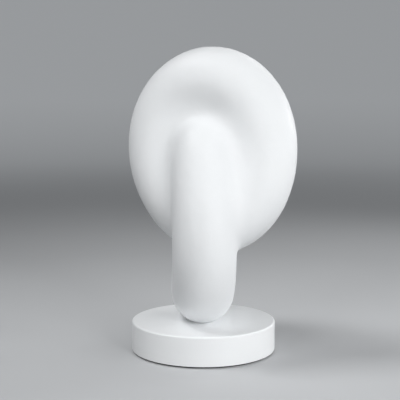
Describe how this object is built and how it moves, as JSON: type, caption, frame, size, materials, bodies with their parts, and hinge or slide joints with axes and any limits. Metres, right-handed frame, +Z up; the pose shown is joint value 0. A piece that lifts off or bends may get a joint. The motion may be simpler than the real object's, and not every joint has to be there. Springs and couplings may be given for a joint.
{
  "type": "infinity sculpture",
  "caption": "Matt white tabletop sculpture: two fat round loops passing through each other, cast as one body and bolted on a round disc base.",
  "frame": {"origin": "middle of the underside, on the axis of the round base", "axes": "+Z up from the table, -Y towards the front, which faces the upper loop, +X to the viewer's right"},
  "size_m": [0.1531, 0.1658, 0.2782],
  "materials": {
    "casting": "smooth matt white cast resin",
    "base": "smooth matt white cast resin, turned edge",
    "rubber": "matt dark non-slip rubber",
    "brass": "turned brass",
    "steel": "bright zinc plated steel"
  },
  "bodies": {
    "root": {"looped_body": "casting", "base": "base", "foot_pad": "rubber", "threaded_insert": "brass", "clamp_bolt": "steel", "lock_washer": "steel", "flat_washer": "steel", "dowel_1": "steel", "dowel_2": "steel"}
  },
  "joints": []
}
